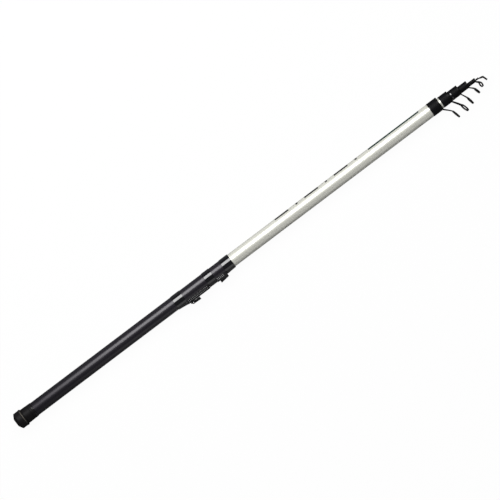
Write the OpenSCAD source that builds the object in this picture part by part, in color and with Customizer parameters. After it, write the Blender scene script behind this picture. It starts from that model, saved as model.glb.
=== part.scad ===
// Telescopic fishing rod, closed, lying along +X with its guides and reel seat towards -Y.
// The origin is on the rod's axis at the outer face of the butt cap. Units are millimetres.
// A height is a distance from the rod's axis towards the guides, so a height h lies at y = -h.

/* [Butt cap] */
// Length of the cap's head
cap_len = 20.8; // [18:0.2:30]
// Diameter of the cap's head
cap_od = 35.2; // [34:0.2:40]
// Length of the cone behind the cap's end face
cap_chamfer = 5.2; // [2:0.2:8]
// Diameter of the cap's flat end face
cap_face_d = 17; // [12:0.5:28]
// Width of the grip ring
grip_w = 4.0; // [3:0.2:6]
// Height that the grip ring stands proud of the head
grip_proud = 0.55; // [0.3:0.05:1]
// Depth of the groove that holds the grip ring
grip_seat = 1.2; // [0.8:0.1:2]
// Shoulder between the grip ring and the seal
grip_shoulder = 0.8; // [0.6:0.1:2]
// Flutes round the grip ring
grip_flutes = 40; // [20:1:60]
// Radius of one flute
flute_r = 0.5; // [0.3:0.05:0.8]
// Thickness of the seal ring
seal_t = 0.5; // [0.4:0.1:1]
// Length of the cap's threaded spigot
spigot_len = 8.6; // [6:0.2:14]
// Nominal diameter of the cap's thread
thread_d = 28; // [27.4:0.1:29]
// Diameter of the cushion's stem
stem_d = 10; // [6:0.5:16]
// Length of the cushion's stem
stem_len = 8; // [5:0.5:12]
// Thickness of the cushion's pad
pad_t = 2.3; // [1.5:0.1:4]

/* [Butt collar] */
// Length of the butt collar
butt_collar_len = 23.7; // [16:0.1:36]
// Diameter of the butt collar at the cap
butt_collar_od = 32.4; // [31.6:0.1:35]
// Diameter of the butt collar at the handle
butt_collar_front_od = 31; // [30.4:0.1:33]

/* [Handle and reel seat] */
// Distance from the butt face to the handle's front end
handle_end = 537.5; // [535:0.5:560]
// Wall of the handle sleeve
sleeve_wall = 0.35; // [0.2:0.05:0.8]
// Distance from the butt face to the lower binding
lower_binding_x = 396; // [380:1:400]
// Length of the lower binding
lower_binding_len = 23; // [20:0.5:26]
// Length of the middle binding
middle_binding_len = 19; // [18:0.5:24]
// Length of the upper binding
upper_binding_len = 22; // [16:0.5:26]
// Diameter of the bindings
binding_od = 31; // [30.6:0.1:33]
// Binding's wall over a foot of the seat
binding_cover = 1.2; // [0.6:0.1:1.6]
// Length of the rail plate between its bindings
rail_len = 54; // [50:0.5:70]
// Length of the fixed hood's plate between its bindings
hood_plate_len = 25; // [23:0.5:34]
// Height of both plates above the handle
plate_rise = 4.3; // [3.8:0.1:5.4]
// Width of both plates
plate_w = 19.6; // [18.8:0.2:20.4]
// Rounding of the plates' outer edges
plate_round = 0.8; // [0.4:0.1:1.2]
// Length of the feet under the bindings
foot_len = 8.7; // [6:0.1:8.9]
// Radius of the feet's rounded tops
foot_r = 7.8; // [7:0.1:8.6]
// Height of the feet above the rod's axis
foot_h = 16.6; // [16:0.1:17.4]
// Pitch of the teeth along the rail plate
tooth_pitch = 3.5; // [2.5:0.1:5]
// Height of a row of teeth
tooth_row_h = 1.5; // [1:0.1:1.6]
// Distance from the plates' face to the outer row of teeth
row_depth = 3.6; // [2:0.1:4]
// Distance between the two rows of teeth
row_step = 3.4; // [2.2:0.1:3.6]
// How far the teeth stand out of the plate's side
tooth_proud = 0.5; // [0.3:0.05:0.8]
// Half width of the slot's neck in the rail plate
slot_neck = 2.2; // [1.8:0.1:3]
// Half width of the slot's undercut
slot_undercut = 4.2; // [3.6:0.1:5]
// Depth of the slot's neck
slot_neck_depth = 1.9; // [1.4:0.1:2]
// Depth of the slot's undercut
slot_undercut_depth = 1.5; // [1.2:0.1:1.5]
// Diameter of the stop pin across the rail plate
stop_d = 1.4; // [1:0.1:1.5]
// Length of the sliding hood
slide_len = 22.6; // [20:0.2:28]
// Gap between the lower binding and the sliding hood
slide_gap = 3.4; // [3:0.1:8]
// Width of both hoods
hood_w = 20.6; // [20:0.2:22]
// Wall of both hoods
hood_wall = 1.5; // [1:0.1:2]
// Height of the sliding hood's mouth above the plate
slide_mouth_rise = 6.1; // [5.9:0.1:8]
// Height of the sliding hood's back above the plate
slide_back_rise = 5.4; // [5.2:0.1:7]
// How far the sliding hood's back slopes forward
back_run = 4.8; // [4:0.1:5.2]
// Solid part at the sliding hood's back, which carries the lever
slide_block = 10.4; // [10:0.2:13]
// Length of the fixed hood
fixed_len = 19.4; // [17:0.2:22]
// Height of the fixed hood's mouth above the plate
fixed_mouth_rise = 5.3; // [5.1:0.1:8]
// Height of the fixed hood's back above the plate
fixed_back_rise = 3.0; // [2.6:0.1:5]
// Depth of the recess in the fixed hood's floor
fixed_recess = 1.6; // [1:0.1:1.8]
// Ribs along each side of the fixed hood's plate
hood_ribs = 5; // [3:1:6]
// Diameter of the lever's pin
pin_d = 2.0; // [1.6:0.1:2.2]
// Distance from the sliding hood's back to the lever's pin
pin_back = 6.2; // [5.8:0.1:6.4]
// Height of the lever's pin above the plate
pin_rise = 3.0; // [2.9:0.1:3.2]
// Wall of the lever's eye
lever_eye = 0.8; // [0.6:0.05:0.9]
// Width of the lever
lever_w = 8; // [6:0.2:9]
// How far the lever stands out of the sliding hood's back
lever_proud = 0.4; // [0.3:0.05:0.8]

/* [Sections] */
// Outer diameter of the butt section at the butt
blank_od = 28.4; // [28.2:0.1:28.8]
// Outer diameter of the butt section at its tip
tip_1_od = 28.1; // [27.6:0.1:28.2]
// Outer diameter of section 2 at its tip
tip_2_od = 23.7; // [23.4:0.1:23.9]
// Outer diameter of section 3 at its tip
tip_3_od = 19.8; // [19.5:0.1:20]
// Outer diameter of section 4 at its tip
tip_4_od = 14.2; // [13.9:0.1:14.5]
// Outer diameter of section 5 at its tip
tip_5_od = 7.1; // [6.9:0.1:7.4]
// Diameter of the tip section at its end
tip_6_od = 2.2; // [1.6:0.1:2.4]
// Wall of the butt section
butt_wall = 1.3; // [1:0.05:1.4]
// Wall of sections 2 to 4
mid_wall = 0.9; // [0.7:0.05:1]
// Wall of section 5
upper_wall = 0.8; // [0.6:0.05:0.9]
// Distance from the butt face to the butt section's tip
tip_1_x = 1060.6; // [900:0.2:1400]
// How far section 2 stands out of the butt section when closed
step_2 = 24; // [20:0.2:34]
// How far section 3 stands out of section 2 when closed
step_3 = 23.2; // [18:0.2:30]
// How far section 4 stands out of section 3 when closed
step_4 = 20.6; // [16:0.2:28]
// How far section 5 stands out of section 4 when closed
step_5 = 18; // [14:0.2:26]
// How far the tip section stands out of section 5 when closed
step_6 = 5.2; // [4.6:0.1:10]
// Sideways play that section 2 takes up in the butt section
play_2 = 0.6; // [0:0.05:0.65]
// Sideways play that section 3 takes up in section 2
play_3 = 0.75; // [0:0.05:0.8]
// Sideways play that section 4 takes up in section 3
play_4 = 1.6; // [0:0.05:1.65]
// Sideways play that section 5 takes up in section 4
play_5 = 2.3; // [0:0.05:2.35]
// Sideways play that the tip section takes up in section 5
play_6 = 1.0; // [0:0.05:1.05]
// Overlap of two sections when drawn out
overlap = 60; // [50:1:80]

/* [Tip collars] */
// Length of the butt section's collar
collar_1_len = 23; // [16:0.2:34]
// Blank that shows between the first two collars
collar_2_gap = 3.8; // [1:0.1:8]
// Gap between each of the other collars and the section behind it
collar_gap = 0.4; // [0.3:0.05:1]
// Wall of the collars
collar_wall = 0.48; // [0.3:0.02:0.8]

/* [Guides] */
// Length of the bands that hold the guides
band_len = 4; // [3:0.1:6]
// Thickness of the guides' wire
wire_d = 2.0; // [1.4:0.05:2.2]
// Thickness of the tip fitting's wire
tip_wire_d = 1.7; // [1.2:0.05:1.9]
// Angle between a guide's middle and each of its legs
leg_angle = 24; // [16:1:34]
// Wall of the ring frames
frame_t = 0.9; // [0.7:0.05:1.2]
// Width of the ring frames
frame_w = 2.8; // [2:0.1:3]
// Wall of the ring inserts in guides 1 to 4
insert_t = 1.3; // [1:0.05:1.6]
// Wall of the ring inserts in guide 5 and the tip fitting
small_insert_t = 0.8; // [0.6:0.05:0.9]
// Width of the ring inserts
insert_w = 1.4; // [1:0.1:1.5]
// Outer diameter of guide 1
ring_1_od = 18.4; // [17:0.2:22]
// Outer diameter of guide 2
ring_2_od = 18.8; // [17:0.2:22]
// Outer diameter of guide 3
ring_3_od = 17; // [15:0.2:21]
// Outer diameter of guide 4
ring_4_od = 14.4; // [13:0.2:18]
// Outer diameter of guide 5
ring_5_od = 11.6; // [11:0.2:14]
// Outer diameter of the tip fitting's ring
ring_6_od = 11; // [10:0.2:12]
// Height of guide 1 above its section's axis
reach_1 = 37.6; // [34:0.1:42]
// Height of guide 2 above its section's axis
reach_2 = 37; // [34:0.1:42]
// Height of guide 3 above its section's axis
reach_3 = 31.4; // [28:0.1:36]
// Height of guide 4 above its section's axis
reach_4 = 21.8; // [20:0.1:27]
// Height of guide 5 above its section's axis
reach_5 = 14.4; // [13:0.1:18]
// Height of the tip ring above the tip section's axis
reach_6 = 7.6; // [7:0.1:11]
// How far guide 1 stands ahead of its section
ahead_1 = 14; // [8:0.1:18]
// How far guide 2 stands ahead of its section
ahead_2 = 11.1; // [7:0.1:16]
// How far guide 3 stands ahead of its section
ahead_3 = 5.6; // [4:0.1:12]
// How far guide 4 stands ahead of its section
ahead_4 = 7.6; // [4:0.1:12]
// How far guide 5 stands ahead of its section
ahead_5 = 3.6; // [3:0.1:8]
// How far the tip ring stands ahead of the tip section
ahead_6 = 11.9; // [9:0.1:15]
// Forward lean of guide 1
tilt_1 = 13; // [0:0.5:20]
// Forward lean of guide 2
tilt_2 = 16.5; // [0:0.5:20]
// Forward lean of guide 3
tilt_3 = 10; // [0:0.5:20]
// Forward lean of guide 4
tilt_4 = 15; // [0:0.5:20]
// Forward lean of guide 5
tilt_5 = 6.5; // [0:0.5:20]
// Forward lean of the tip ring
tilt_6 = 18.5; // [0:0.5:24]
// Roll of guide 1 about the rod
roll_1 = 8; // [-10:1:10]
// Roll of guide 2 about the rod
roll_2 = -8; // [-10:1:10]
// Roll of guide 3 about the rod
roll_3 = 4; // [-10:1:10]
// Roll of guide 4 about the rod
roll_4 = 2; // [-10:1:10]
// Roll of guide 5 about the rod
roll_5 = -10; // [-10:1:10]
// Turn of guide 1's ring on its legs
swing_1 = 5; // [0:1:30]
// Turn of guide 2's ring on its legs
swing_2 = 10; // [0:1:30]
// Turn of guide 3's ring on its legs
swing_3 = 6; // [0:1:30]
// Turn of guide 4's ring on its legs
swing_4 = 8; // [0:1:30]
// Turn of guide 5's ring on its legs
swing_5 = 24; // [0:1:30]

/* [Clearances] */
// Radial gap where pieces are glued
glue = 0.03; // [0.02:0.01:0.05]
// Radial gap where a pin or a thread turns
running = 0.08; // [0.05:0.01:0.1]
// Gap between sliding faces of the reel seat
sliding = 0.2; // [0.15:0.01:0.3]
// Radial gap between two sections when drawn out
section_fit = 0.2; // [0.15:0.01:0.25]
// Gap between pieces that rest close together
rest_gap = 0.3; // [0.25:0.05:0.4]

/* [Hidden] */
$fn = 96;

// Margin by which a cutting solid passes the face that it opens
past = 1;

// Places along the rod, from the butt face
collar_x = cap_len + seal_t + rest_gap;
spigot_end = cap_len + spigot_len;
pad_x = spigot_end + rest_gap;
seat_x = pad_x + pad_t + rest_gap;
blank_x = pad_x + rest_gap;
butt_collar_end = collar_x + butt_collar_len;
handle_x = butt_collar_end + rest_gap;
lower_binding_end = lower_binding_x + lower_binding_len;
middle_binding_x = lower_binding_end + rail_len;
middle_binding_end = middle_binding_x + middle_binding_len;
upper_binding_x = middle_binding_end + hood_plate_len;
upper_binding_end = upper_binding_x + upper_binding_len;

// Sections 1 to 6, so that the first entry of each list is unused
tip_od = [0, tip_1_od, tip_2_od, tip_3_od, tip_4_od, tip_5_od, tip_6_od];
wall = [0, butt_wall, mid_wall, mid_wall, mid_wall, upper_wall, 0];
step = [0, 0, step_2, step_3, step_4, step_5, step_6];
play = [0, 0, play_2, play_3, play_4, play_5, play_6];
ring_od = [0, ring_1_od, ring_2_od, ring_3_od, ring_4_od, ring_5_od, ring_6_od];
reach = [0, reach_1, reach_2, reach_3, reach_4, reach_5, reach_6];
ahead = [0, ahead_1, ahead_2, ahead_3, ahead_4, ahead_5, ahead_6];
tilt = [0, tilt_1, tilt_2, tilt_3, tilt_4, tilt_5, tilt_6];
roll = [0, roll_1, roll_2, roll_3, roll_4, roll_5, 0];
swing = [0, swing_1, swing_2, swing_3, swing_4, swing_5, 0];
ring_insert_t = [0, insert_t, insert_t, insert_t, insert_t, small_insert_t, small_insert_t];

// Where a section starts and ends when the rod is closed
function start_x(k) = k == 1 ? blank_x : seat_x;
function tip_x(k) = k == 1 ? tip_1_x : tip_x(k - 1) + step[k];

// Outer radius of a section at its butt: the next section jams just inside the tip of the one before
function butt_r(k) = k == 1 ? blank_od / 2
  : tip_od[k - 1] / 2 - wall[k - 1] + taper(k - 1) * overlap - section_fit;
function taper(k) = (butt_r(k) - tip_od[k] / 2) / (tip_x(k) - start_x(k));
function outer_r(k, x) = butt_r(k) - taper(k) * (x - start_x(k));

// Angle by which a section leans towards the guides, with the play of all sections before it
function lean(k) = k == 1 ? 0 : lean(k - 1) + atan(play[k] / (tip_x(k - 1) - seat_x));

// Heights of the seat's parts on the handle
function handle_r(x) = outer_r(1, x) + glue + sleeve_wall;
plate_h = handle_r(lower_binding_end) + plate_rise;
upper_row = plate_h - row_depth;
lower_row = upper_row - row_step;
foot_axis = foot_h - foot_r;
upper_foot_r = foot_r - binding_cover / 2;
slide_x = lower_binding_end + slide_gap;
slide_end = slide_x + slide_len;
slide_base = plate_h + sliding;
back_foot = slide_base + hood_wall / 2;
slide_mouth_h = plate_h + slide_mouth_rise;
slide_back_h = plate_h + slide_back_rise;
fixed_mouth_h = plate_h + fixed_mouth_rise;
fixed_back_h = plate_h + fixed_back_rise;
pin_h = plate_h + pin_rise;
pin_x = slide_x + pin_back;
fixed_end = upper_binding_x - rest_gap;
fixed_x = fixed_end - fixed_len;
hood_inside = hood_w / 2 - hood_wall;
undercut_top = plate_h - slot_neck_depth;
undercut_floor = undercut_top - slot_undercut_depth;
stop_x = middle_binding_x - stop_d - rest_gap;
stop_h = (undercut_top + undercut_floor) / 2;
runner_x = slide_x + hood_wall;
runner_end = slide_end - hood_wall;
lever_slot = lever_w / 2 + sliding;
lever_eye_r = pin_d / 2 + running + lever_eye;
lever_front = pin_x + lever_eye_r + 2 * sliding;

// Place of the sliding hood's sloping back at a height
function back_x(h) = slide_x + back_run * (h - back_foot) / (slide_back_h - back_foot);

// A cone or cylinder along the rod
module bar_x(x0, x1, r0, r1) {
  translate([x0, 0, 0])
    rotate([0, 90, 0])
      cylinder(h = x1 - x0, r1 = r0, r2 = r1);
}

// A tube along the rod with a straight or tapered wall
module tube_x(x0, x1, r0, r1, bore0, bore1) {
  over = past / (x1 - x0) * (bore0 - bore1);
  difference() {
    bar_x(x0, x1, r0, r1);
    bar_x(x0 - past, x1 + past, bore0 + over, bore1 - over);
  }
}

// A block between two places along the rod, two heights and two sides
module block(x0, x1, h0, h1, half_w) {
  translate([x0, -h1, -half_w])
    cube([x1 - x0, h1 - h0, 2 * half_w]);
}

// A side outline of places and heights, drawn out to both sides
module slab(points, half_w) {
  translate([0, 0, -half_w])
    linear_extrude(height = 2 * half_w)
      polygon([for (p = points) [p[0], -p[1]]]);
}

// A block whose two outer edges are rounded
module arch(x0, x1, h0, h1, half_w, r) {
  block(x0, x1, h0, h1 - r, half_w);
  block(x0, x1, h0, h1, half_w - r);
  for (side = [-1, 1])
    translate([0, r - h1, side * (half_w - r)])
      bar_x(x0, x1, r, r);
}

// A straight wire between two points
module wire(a, b, d) {
  v = b - a;
  translate(a)
    rotate([0, acos(v[2] / norm(v)), atan2(v[1], v[0])])
      cylinder(h = norm(v), d = d);
}

// Turns a piece of section k to the section's leaning axis
module on_section(k) {
  translate([seat_x, 0, 0])
    rotate([0, 0, -lean(k)])
      translate([-seat_x, 0, 0])
        children();
}

// Puts a ring of guide k, made about Z, in its place on the section
module in_guide(k) {
  on_section(k)
    rotate([roll[k], 0, 0])
      translate([tip_x(k) + ahead[k], -reach[k], 0])
        rotate([0, 0, tilt[k]])
          rotate([0, 90 + swing[k], 0])
            children();
}

// Butt cap
module screw_cap() {
  head_r = cap_od / 2;
  spigot_r = thread_d / 2 - running;
  groove_end = cap_len - grip_shoulder;
  groove_x = groove_end - grip_w - 2 * glue;
  stem_hole_x = pad_x - stem_len - rest_gap;
  color([0.09, 0.09, 0.09])
    difference() {
      union() {
        bar_x(0, cap_chamfer, cap_face_d / 2, head_r);
        bar_x(cap_chamfer, cap_len, head_r, head_r);
        bar_x(cap_len, spigot_end, spigot_r, spigot_r);
      }
      tube_x(groove_x, groove_end, head_r + past, head_r + past,
        head_r - grip_seat, head_r - grip_seat);
      bar_x(stem_hole_x, spigot_end + past, stem_d / 2 + running, stem_d / 2 + running);
    }
}

module cap_grip() {
  seat_r = cap_od / 2 - grip_seat + glue;
  top_r = cap_od / 2 + grip_proud;
  x1 = cap_len - grip_shoulder - glue;
  color([0.2, 0.19, 0.17])
    difference() {
      tube_x(x1 - grip_w, x1, top_r, top_r, seat_r, seat_r);
      for (i = [0 : grip_flutes - 1])
        rotate([360 * i / grip_flutes, 0, 0])
          translate([0, -top_r - flute_r / 2, 0])
            bar_x(x1 - grip_w - past, x1 + past, flute_r, flute_r);
    }
}

module cap_seal() {
  bore = thread_d / 2 + glue;
  rim = butt_collar_od / 2 - rest_gap;
  color([0.05, 0.05, 0.05])
    tube_x(cap_len + glue, cap_len + glue + seal_t, rim, rim, bore, bore);
}

module cap_cushion() {
  pad_r = outer_r(1, blank_x) - butt_wall - 2 * sliding;
  color([0.15, 0.15, 0.15]) {
    bar_x(pad_x, pad_x + pad_t, pad_r, pad_r);
    bar_x(pad_x - stem_len, pad_x + glue, stem_d / 2, stem_d / 2);
  }
}

module butt_collar() {
  bore = outer_r(1, blank_x) + glue;
  thread_r = thread_d / 2;
  color([0.08, 0.08, 0.08])
    difference() {
      bar_x(collar_x, butt_collar_end, butt_collar_od / 2, butt_collar_front_od / 2);
      bar_x(collar_x - past, blank_x, thread_r, thread_r);
      bar_x(blank_x - glue, butt_collar_end + past, bore, bore);
    }
}

// Handle and reel seat
module handle_sleeve() {
  r0 = handle_r(handle_x);
  r1 = handle_r(handle_end);
  color([0.14, 0.13, 0.15])
    tube_x(handle_x, handle_end, r0, r1, r0 - sleeve_wall, r1 - sleeve_wall);
}

// A foot of the seat, or the hump of a binding over it: round, and cut away below by the handle
module foot(x0, x1, r0, r1) {
  translate([0, -foot_axis, 0])
    bar_x(x0, x1, r0, r1);
}

// A ring round the handle with a hump over the seat's feet, whose pockets are the children
module binding(x0, x1, hump_r0, hump_r1) {
  bore = handle_r(x0) + glue;
  color([0.04, 0.04, 0.05])
    difference() {
      union() {
        bar_x(x0, x1, binding_od / 2, binding_od / 2);
        foot(x0, x1, hump_r0, hump_r1);
      }
      bar_x(x0 - past, x1 + past, bore, bore);
      children();
    }
}

module lower_binding() {
  x1 = lower_binding_end;
  pocket_r = foot_r + glue;
  binding(lower_binding_x, x1, binding_od / 2 - rest_gap - foot_axis, plate_h - rest_gap - foot_axis)
    foot(x1 - foot_len - 2 * glue, x1 + past, pocket_r, pocket_r);
}

module middle_binding() {
  x0 = middle_binding_x;
  x1 = middle_binding_end;
  pocket_r = foot_r + glue;
  binding(x0, x1, foot_r + binding_cover, foot_r + binding_cover) {
    foot(x0 - past, x0 + foot_len + 2 * glue, pocket_r, pocket_r);
    foot(x1 - foot_len - 2 * glue, x1 + past, pocket_r, pocket_r);
  }
}

module upper_binding() {
  x0 = upper_binding_x;
  pocket_r = upper_foot_r + glue;
  binding(x0, upper_binding_end, upper_foot_r + binding_cover, binding_od / 2 - rest_gap - foot_axis)
    foot(x0 - past, x0 + foot_len + 2 * glue, pocket_r, pocket_r);
}

// Outline of the rail plate from above, with a tooth at each pitch on both sides
function toothed_side(x0, count) = [
  for (i = [0 : count - 1])
    for (p = [[0, 0], [0.2, 1], [0.6, 1], [0.8, 0]])
      [x0 + (i + p[0]) * tooth_pitch, plate_w / 2 + p[1] * tooth_proud]
];

module tooth_row(h, x0, count) {
  side = toothed_side(x0, count);
  far = [for (i = [len(side) - 1 : -1 : 0]) [side[i][0], -side[i][1]]];
  translate([0, -h, 0])
    rotate([90, 0, 0])
      linear_extrude(height = tooth_row_h, center = true)
        polygon(concat(side, far));
}

module rail_plate() {
  x0 = lower_binding_end + glue;
  x1 = middle_binding_x - glue;
  saddle = handle_r(x0) + glue;
  count = floor((rail_len - tooth_pitch) / tooth_pitch);
  teeth_x = x0 + tooth_pitch / 2;
  stop_hole = stop_d / 2 + glue;
  color([0.06, 0.06, 0.07])
    difference() {
      union() {
        arch(x0, x1, 0, plate_h, plate_w / 2, plate_round);
        foot(x0 - foot_len, x1 + foot_len, foot_r, foot_r);
        tooth_row(upper_row, teeth_x, count);
        tooth_row(lower_row, teeth_x, count);
      }
      bar_x(x0 - foot_len - past, x1 + foot_len + past, saddle, saddle);
      block(x0 + sliding, x1 - hood_wall / 2, undercut_top - glue, plate_h + past, slot_neck);
      block(x0 + sliding, x1 - hood_wall / 2, undercut_floor, undercut_top, slot_undercut);
      translate([stop_x, -stop_h, -plate_w])
        cylinder(h = 2 * plate_w, r = stop_hole);
    }
}

module rail_stop() {
  half = plate_w / 2 + tooth_proud + rest_gap;
  color([0.8, 0.8, 0.8])
    translate([stop_x, -stop_h, -half])
      cylinder(h = 2 * half, d = stop_d);
}

module fixed_hood() {
  x0 = middle_binding_end + glue;
  x1 = upper_binding_x - glue;
  saddle = handle_r(x0) + glue;
  floor_h = plate_h - fixed_recess;
  slope = (fixed_mouth_h - fixed_back_h) / fixed_len;
  pocket_end = fixed_end - 2 * hood_wall;
  roof = fixed_mouth_h - hood_wall;
  rib_row = floor_h - hood_wall - rest_gap - tooth_row_h / 2;
  outline = [
    [fixed_x, floor_h - hood_wall], [fixed_x, fixed_mouth_h],
    [fixed_end, fixed_back_h], [fixed_end, floor_h - hood_wall]
  ];
  pocket = [
    [fixed_x - past, floor_h], [fixed_x - past, roof + past * slope],
    [pocket_end, roof - (pocket_end - fixed_x) * slope], [pocket_end, floor_h]
  ];
  color([0.06, 0.06, 0.07])
    difference() {
      union() {
        arch(x0, x1, 0, plate_h, plate_w / 2, plate_round);
        foot(x0 - foot_len, x0 + hood_wall, foot_r, foot_r);
        foot(x1 - hood_wall, x1 + foot_len, upper_foot_r, upper_foot_r);
        intersection() {
          slab(outline, hood_w / 2);
          arch(fixed_x, fixed_end, 0, fixed_mouth_h, hood_w / 2, 2 * hood_wall);
        }
        for (i = [0 : hood_ribs - 1], row = [rib_row, lower_row])
          translate([x0 + (i + 0.5) * tooth_pitch, -row, 0])
            block(0, tooth_pitch / 2, -tooth_row_h / 2, tooth_row_h / 2, plate_w / 2 + tooth_proud);
      }
      bar_x(x0 - foot_len - past, x1 + foot_len + past, saddle, saddle);
      slab(pocket, hood_inside);
    }
}

module sliding_hood() {
  block_end = slide_x + slide_block;
  roof = slide_mouth_h - hood_wall;
  outline = [
    [slide_x, slide_base], [slide_x, back_foot], [slide_x + back_run, slide_back_h],
    [slide_end, slide_mouth_h], [slide_end, slide_base]
  ];
  color([0.06, 0.06, 0.07])
    difference() {
      union() {
        intersection() {
          slab(outline, hood_w / 2);
          arch(slide_x, slide_end, 0, slide_mouth_h, hood_w / 2, 2 * hood_wall);
        }
        block(runner_x, block_end, undercut_floor + sliding, slide_base + glue, slot_neck - sliding);
        block(runner_x, runner_end, undercut_floor + sliding, undercut_top - sliding,
          slot_undercut - sliding);
      }
      block(block_end, slide_end + past, slide_base - glue, roof, hood_inside);
      block(slide_x - past, lever_front, back_foot, slide_mouth_h + past, lever_slot);
      translate([pin_x, -pin_h, -hood_w])
        cylinder(h = 2 * hood_w, d = pin_d + 2 * glue);
    }
}

module lever_pin() {
  half = hood_w / 2 + rest_gap;
  color([0.8, 0.8, 0.8])
    translate([pin_x, -pin_h, -half])
      cylinder(h = 2 * half, d = pin_d);
}

module lock_lever() {
  top = pin_h + lever_eye_r;
  low = pin_h - lever_eye_r;
  tail = [
    [back_x(low) - lever_proud, low], [back_x(top) - lever_proud, top],
    [pin_x, top], [pin_x, low]
  ];
  color([0.05, 0.05, 0.05])
    difference() {
      union() {
        translate([pin_x, -pin_h, -lever_w / 2])
          cylinder(h = lever_w, r = lever_eye_r);
        slab(tail, lever_w / 2);
      }
      translate([pin_x, -pin_h, -hood_w])
        cylinder(h = 2 * hood_w, d = pin_d + 2 * running);
    }
}

// Sections
module section_tube(k) {
  x0 = start_x(k);
  x1 = tip_x(k);
  r0 = butt_r(k);
  r1 = tip_od[k] / 2;
  on_section(k)
    tube_x(x0, x1, r0, r1, r0 - wall[k], r1 - wall[k]);
}

module butt_blank() {
  color([0.86, 0.86, 0.82])
    section_tube(1);
}

module section_2_blank() {
  color([0.86, 0.86, 0.82])
    section_tube(2);
}

module section_3_blank() {
  color([0.86, 0.86, 0.82])
    section_tube(3);
}

module section_4_blank() {
  color([0.86, 0.86, 0.82])
    section_tube(4);
}

module section_5_blank() {
  color([0.86, 0.86, 0.82])
    section_tube(5);
}

module section_6_blank() {
  color([0.86, 0.86, 0.82])
    on_section(6)
      bar_x(seat_x, tip_x(6), butt_r(6), tip_od[6] / 2);
}

// Black collar behind the guide's band on section k
module tip_collar(k) {
  gap = k == 2 ? collar_2_gap : collar_gap;
  x0 = k == 1 ? tip_x(k) - collar_1_len : tip_x(k - 1) + gap;
  x1 = tip_x(k) - band_len - glue;
  bore = outer_r(k, x0) + glue;
  color([0.06, 0.06, 0.07])
    on_section(k)
      tube_x(x0, x1, bore + collar_wall, bore + collar_wall, bore, bore);
}

module tip_collar_1() { tip_collar(1); }
module tip_collar_2() { tip_collar(2); }
module tip_collar_3() { tip_collar(3); }
module tip_collar_4() { tip_collar(4); }
module tip_collar_5() { tip_collar(5); }

// The point on a ring's frame where a leg ends, on the given side and further out by the given lift
function ring_foot(k, angle, side, lift = 0) =
  let (r = (ring_od[k] - frame_t) / 2 + lift)
  let (in = r * cos(angle))
  let (out = side * r * sin(angle))
  let (fore = out * sin(swing[k]))
  [
    tip_x(k) + ahead[k] + fore * cos(tilt[k]) - in * sin(tilt[k]),
    fore * sin(tilt[k]) + in * cos(tilt[k]) - reach[k],
    out * cos(swing[k])
  ];

// Outer rim of a guide, about Z
module ring_frame(k) {
  rotate_extrude()
    translate([ring_od[k] / 2 - frame_t, -frame_w / 2])
      square([frame_t, frame_w]);
}

// Band round the section's tip, two legs and the rim that holds the insert
module guide_frame(k) {
  x0 = tip_x(k) - band_len;
  x1 = tip_x(k);
  bore = outer_r(k, x0) + glue;
  band_r = bore + collar_wall - glue;
  root_r = (bore + band_r) / 2;
  root_x = (x0 + x1) / 2;
  lift = (wire_d - frame_t) / 2;
  color([0.05, 0.05, 0.05]) {
    in_guide(k)
      ring_frame(k);
    on_section(k)
      rotate([roll[k], 0, 0])
        difference() {
          union() {
            bar_x(x0, x1, band_r, band_r);
            for (side = [-1, 1])
              wire(
                [root_x, -root_r * cos(leg_angle), side * root_r * sin(leg_angle)],
                ring_foot(k, leg_angle, side, lift),
                wire_d
              );
          }
          bar_x(x0 - past, x1 + past, bore, bore);
        }
  }
}

// Hard insert in a guide's rim, rounded where the line runs
module guide_insert(k) {
  outer = ring_od[k] / 2 - frame_t - glue;
  inner = outer - ring_insert_t[k];
  bead = min(insert_w, ring_insert_t[k]) / 2;
  color([0.1, 0.1, 0.11])
    in_guide(k)
      rotate_extrude() {
        translate([inner + bead, -bead])
          square([outer - inner - bead, 2 * bead]);
        translate([inner + bead, 0])
          circle(r = bead);
      }
}

module guide_1_frame() { guide_frame(1); }
module guide_2_frame() { guide_frame(2); }
module guide_3_frame() { guide_frame(3); }
module guide_4_frame() { guide_frame(4); }
module guide_5_frame() { guide_frame(5); }
module guide_1_ring() { guide_insert(1); }
module guide_2_ring() { guide_insert(2); }
module guide_3_ring() { guide_insert(3); }
module guide_4_ring() { guide_insert(4); }
module guide_5_ring() { guide_insert(5); }

// End fitting: a socket on the tip section, a stem and two braces to the ring
module tip_top_frame() {
  x0 = tip_x(5) + 2 * rest_gap;
  x1 = tip_x(6);
  bore = outer_r(6, x0) + glue;
  socket_r = bore + collar_wall;
  brace_angle = 62;
  lift = (tip_wire_d - frame_t) / 2;
  stem_start = [x1, -bore / 2, 0];
  color([0.06, 0.06, 0.06]) {
    in_guide(6)
      ring_frame(6);
    on_section(6)
      difference() {
        union() {
          bar_x(x0, x1 + tip_wire_d, socket_r, socket_r);
          wire(stem_start, ring_foot(6, 0, 1, lift), tip_wire_d);
          for (side = [-1, 1])
            wire([x1, -bore / 2, side * bore / 2], ring_foot(6, brace_angle, side, lift), tip_wire_d);
        }
        bar_x(x0 - past, x1 + glue, bore, bore);
      }
  }
}

module tip_top_ring() { guide_insert(6); }

butt_blank();
handle_sleeve();
butt_collar();
lower_binding();
middle_binding();
upper_binding();
rail_plate();
rail_stop();
fixed_hood();
sliding_hood();
lever_pin();
lock_lever();
screw_cap();
cap_grip();
cap_seal();
cap_cushion();
section_2_blank();
section_3_blank();
section_4_blank();
section_5_blank();
section_6_blank();
tip_collar_1();
tip_collar_2();
tip_collar_3();
tip_collar_4();
tip_collar_5();
guide_1_frame();
guide_2_frame();
guide_3_frame();
guide_4_frame();
guide_5_frame();
guide_1_ring();
guide_2_ring();
guide_3_ring();
guide_4_ring();
guide_5_ring();
tip_top_frame();
tip_top_ring();
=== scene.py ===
import bmesh
import bpy
import math
from mathutils import Matrix, Vector


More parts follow.
